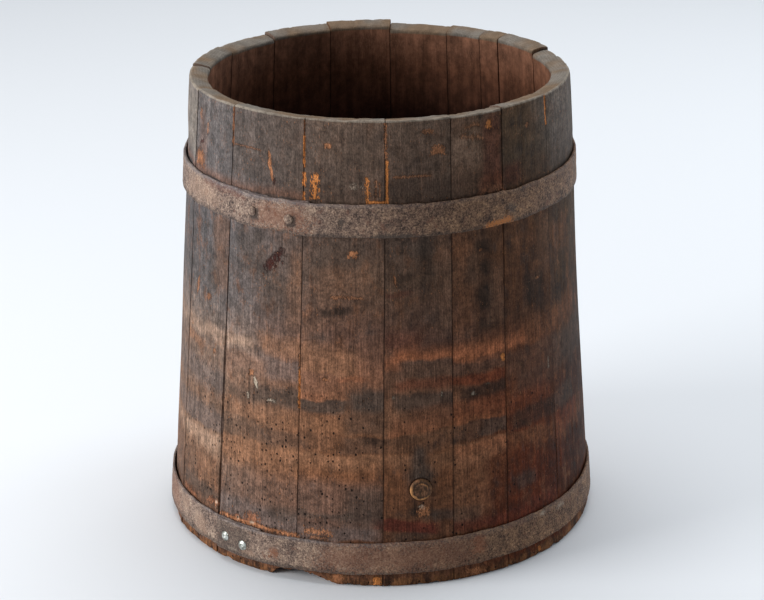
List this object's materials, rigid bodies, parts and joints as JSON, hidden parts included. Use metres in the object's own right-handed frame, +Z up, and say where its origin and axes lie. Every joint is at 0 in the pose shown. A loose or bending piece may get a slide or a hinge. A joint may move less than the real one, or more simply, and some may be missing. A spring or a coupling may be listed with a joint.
{
  "type": "coopered wooden tub",
  "caption": "Open-topped tapered wine-making tub of upright wooden staves, bound by riveted iron hoops, with a bottom head and a pull-out bung low on the side.",
  "frame": {"origin": "centre of the base, in the plane that the stave ends stand on", "axes": "+Z up along the tub's axis, -Y to the front, which is the side with the bung, +X to the right of someone looking at the front"},
  "size_m": [0.4297, 0.4297, 0.4525],
  "materials": {
    "stave_oak": "weathered dark oak, stained in bands, worm-holed",
    "head_oak": "dark stained oak",
    "dowel_wood": "plain",
    "hoop_iron": "grey-brown rust, matt",
    "rivet_iron": "rusted",
    "blind_rivet_aluminium": "dull",
    "bung_wood": "dark, with worn lighter rim"
  },
  "bodies": {
    "tub": {"stave_01": "stave_oak", "stave_02": "stave_oak", "stave_03": "stave_oak", "stave_04": "stave_oak", "stave_05": "stave_oak", "stave_06": "stave_oak", "stave_07": "stave_oak", "stave_08": "stave_oak", "stave_09": "stave_oak", "stave_10": "stave_oak", "stave_11": "stave_oak", "stave_12": "stave_oak", "stave_13": "stave_oak", "stave_14": "stave_oak", "stave_15": "stave_oak", "stave_16": "stave_oak", "stave_17": "stave_oak", "head_board_1": "head_oak", "head_board_2": "head_oak", "head_board_3": "head_oak", "head_board_4": "head_oak", "head_board_5": "head_oak", "head_dowels": "dowel_wood", "upper_hoop": "hoop_iron", "lower_hoop": "hoop_iron", "upper_hoop_rivets": "rivet_iron", "lower_hoop_rivets": "blind_rivet_aluminium", "hoop_nail": "rivet_iron"},
    "bung": {"bung": "bung_wood"}
  },
  "joints": [
    {"name": "bung_pull", "type": "slide", "parent": "tub", "child": "bung", "axis": [0.1784, -0.9815, 0.0696], "range_m": [0, 0.06]}
  ]
}
